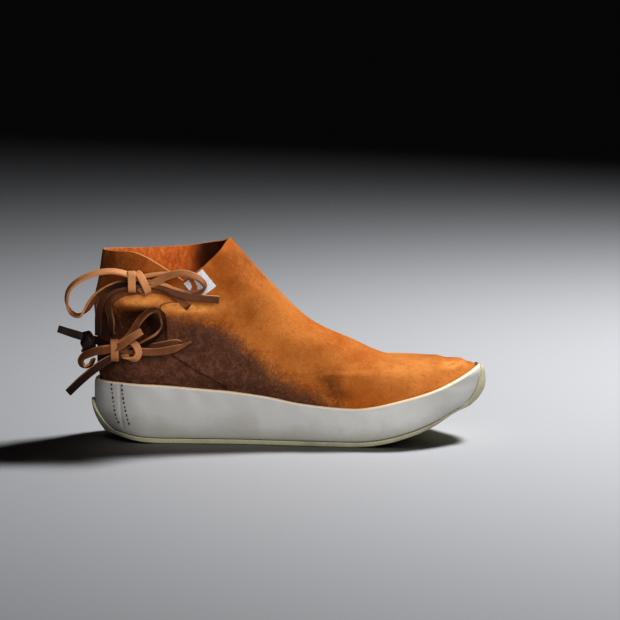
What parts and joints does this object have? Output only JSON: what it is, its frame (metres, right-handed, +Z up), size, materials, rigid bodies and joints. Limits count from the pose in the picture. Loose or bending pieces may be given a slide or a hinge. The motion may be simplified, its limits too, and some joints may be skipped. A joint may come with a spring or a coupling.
{
  "type": "leather boot",
  "caption": "Right-foot moccasin ankle boot: a suede upper that wraps round the heel and ties with leather thongs, on a white rubber cup and a crepe outsole.",
  "frame": {"origin": "on the floor, at the middle of the length and of the width of the boot without its bows", "axes": "+X towards the toe, +Y towards the inner side of the foot, +Z up"},
  "size_m": [0.3238, 0.1031, 0.1525],
  "materials": {
    "crepe": "matt crumbly crepe",
    "cup_rubber": "matt white rubber",
    "insole_leather": "smooth, worn",
    "suede": "napped suede with uneven dye",
    "tag_cloth": "plain woven tape",
    "thong_leather": "cut leather thong, smooth top, rough edge"
  },
  "bodies": {
    "root": {"outsole": "crepe", "cup": "cup_rubber", "insole": "insole_leather", "upper": "suede", "tag": "tag_cloth", "upper_strap": "thong_leather", "lower_strap": "thong_leather", "upper_bow": "thong_leather", "lower_bow": "thong_leather"}
  },
  "joints": []
}
